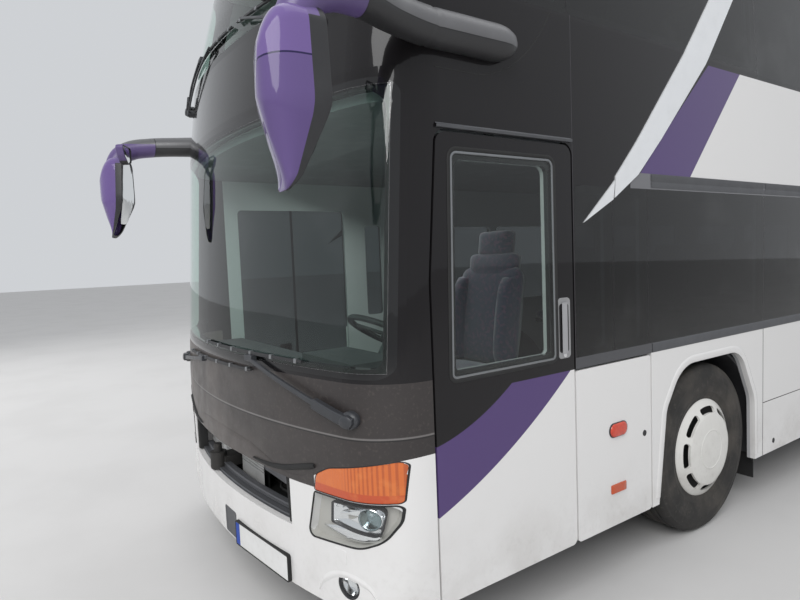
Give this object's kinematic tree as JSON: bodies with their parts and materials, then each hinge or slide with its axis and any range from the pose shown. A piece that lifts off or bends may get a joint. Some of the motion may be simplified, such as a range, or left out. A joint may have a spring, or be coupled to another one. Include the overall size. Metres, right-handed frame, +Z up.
{
  "type": "double-deck coach bus",
  "caption": "Double-deck touring coach with hollow saloon, glazed sides, steered front wheels, twin drive wheels, opening driver's door, flaps and engine lid.",
  "frame": {"origin": "on the ground, at the middle of the overall length and width, mirrors included", "axes": "+Z up, +X towards the coach's left side, the coach faces -Y"},
  "size_m": [3.1048, 14.2303, 3.9917],
  "materials": {
    "white_paint": "gloss white paint",
    "black_gloss": "gloss black, slightly dusty",
    "purple_paint": "gloss purple paint",
    "silver": "satin silver foil",
    "dark_plastic": "dark grey moulded plastic",
    "tinted_glass": "dark tinted safety glass",
    "windscreen_glass": "green tinted safety glass",
    "mirror_glass": "mirror",
    "lamp_lens": "clear lamp lens",
    "amber_lens": "amber lens",
    "red_lens": "red lens",
    "chassis_black": "black chassis paint, dusty",
    "cast_metal": "bare cast metal",
    "tyre": "worn road tyre",
    "wheel_white": "white wheel cover",
    "floor_grey": "vinyl floor",
    "seat_fabric": "dark seat cloth",
    "dash_grey": "grained dashboard plastic",
    "plate_white": "blank white plate"
  },
  "bodies": {
    "coach_body": {"chassis_frame": "chassis_black", "lower_floor": "floor_grey", "upper_floor": "floor_grey", "staircase": "floor_grey", "side_wall_left": "white_paint", "side_wall_right": "white_paint", "roof": "white_paint", "rear_wall": "white_paint", "front_frame": "black_gloss", "front_apron": "black_gloss", "front_bumper": "white_paint", "bumper_corners": "white_paint", "windscreens": "windscreen_glass", "side_glass": "tinted_glass", "rear_glass": "tinted_glass", "passenger_doors": "white_paint", "spear_trim": "silver", "headlamps": "lamp_lens", "indicators": "amber_lens", "tail_lamps": "red_lens", "mirrors": "purple_paint", "mirror_glass": "mirror_glass", "wipers": "dark_plastic", "front_grille": "dark_plastic", "number_plates": "plate_white", "dashboard": "dash_grey", "driver_seat": "seat_fabric", "passenger_seats": "seat_fabric", "arch_liners": "dark_plastic", "mud_flaps": "dark_plastic", "engine_block": "cast_metal", "front_axle": "cast_metal", "drive_axle": "cast_metal", "tag_axle": "cast_metal"},
    "driver_door": {"driver_door": "white_paint", "driver_window": "windscreen_glass"},
    "service_flap": {"service_flap": "white_paint"},
    "luggage_flap_left": {"luggage_flap_left": "white_paint"},
    "luggage_flap_right": {"luggage_flap_right": "white_paint"},
    "engine_lid": {"engine_lid": "white_paint"},
    "steering_wheel": {"steering_wheel": "dash_grey"},
    "front_knuckle_left": {"front_knuckle_left": "cast_metal"},
    "front_knuckle_right": {"front_knuckle_right": "cast_metal"},
    "front_wheel_left": {"front_tyre_left": "tyre", "front_rim_left": "wheel_white"},
    "front_wheel_right": {"front_tyre_right": "tyre", "front_rim_right": "wheel_white"},
    "drive_wheel_left": {"drive_tyre_left": "tyre", "drive_rim_left": "wheel_white"},
    "drive_wheel_right": {"drive_tyre_right": "tyre", "drive_rim_right": "wheel_white"},
    "tag_wheel_left": {"tag_tyre_left": "tyre", "tag_rim_left": "wheel_white"},
    "tag_wheel_right": {"tag_tyre_right": "tyre", "tag_rim_right": "wheel_white"}
  },
  "joints": [
    {"name": "steer_left", "type": "hinge", "parent": "coach_body", "child": "front_knuckle_left", "pos_m": [0.95, -4.245, 0.515], "axis": [0, 0, 1], "range_deg": [-42, 42]},
    {"name": "front_spin_left", "type": "hinge", "parent": "front_knuckle_left", "child": "front_wheel_left", "pos_m": [1.085, -4.245, 0.515], "axis": [1, 0, 0], "continuous": true},
    {"name": "drive_spin_left", "type": "hinge", "parent": "coach_body", "child": "drive_wheel_left", "pos_m": [0.9, 2.455, 0.515], "axis": [1, 0, 0], "continuous": true},
    {"name": "tag_spin_left", "type": "hinge", "parent": "coach_body", "child": "tag_wheel_left", "pos_m": [1.085, 3.805, 0.515], "axis": [1, 0, 0], "continuous": true},
    {"name": "steer_right", "type": "hinge", "parent": "coach_body", "child": "front_knuckle_right", "pos_m": [-0.95, -4.245, 0.515], "axis": [0, 0, 1], "range_deg": [-42, 42]},
    {"name": "front_spin_right", "type": "hinge", "parent": "front_knuckle_right", "child": "front_wheel_right", "pos_m": [-1.085, -4.245, 0.515], "axis": [1, 0, 0], "continuous": true},
    {"name": "drive_spin_right", "type": "hinge", "parent": "coach_body", "child": "drive_wheel_right", "pos_m": [-0.9, 2.455, 0.515], "axis": [1, 0, 0], "continuous": true},
    {"name": "tag_spin_right", "type": "hinge", "parent": "coach_body", "child": "tag_wheel_right", "pos_m": [-1.085, 3.805, 0.515], "axis": [1, 0, 0], "continuous": true},
    {"name": "steering_wheel_turn", "type": "hinge", "parent": "coach_body", "child": "steering_wheel", "pos_m": [0.64, -6.125, 1.33], "axis": [0, 0.5, 0.866], "range_deg": [-756, 756]},
    {"name": "driver_door_hinge", "type": "hinge", "parent": "coach_body", "child": "driver_door", "pos_m": [1.284, -6.34, 1.2], "axis": [0, 0, -1], "range_deg": [0, 75]},
    {"name": "service_flap_hinge", "type": "hinge", "parent": "coach_body", "child": "service_flap", "pos_m": [1.284, -5.185, 1.176], "axis": [0, -1, 0], "range_deg": [0, 80]},
    {"name": "luggage_hinge_left", "type": "hinge", "parent": "coach_body", "child": "luggage_flap_left", "pos_m": [1.284, 5.455, 1.893], "axis": [0, -1, 0], "range_deg": [0, 85]},
    {"name": "luggage_hinge_right", "type": "hinge", "parent": "coach_body", "child": "luggage_flap_right", "pos_m": [-1.284, 5.455, 1.893], "axis": [0, 1, 0], "range_deg": [0, 85]},
    {"name": "engine_lid_hinge", "type": "hinge", "parent": "coach_body", "child": "engine_lid", "pos_m": [0, 7.129, 1.743], "axis": [1, 0, 0], "range_deg": [0, 80]}
  ],
  "couplings": [
    {"joint": "steer_right", "follows": "steer_left", "ratio": 1},
    {"joint": "steering_wheel_turn", "follows": "steer_left", "ratio": 18}
  ]
}
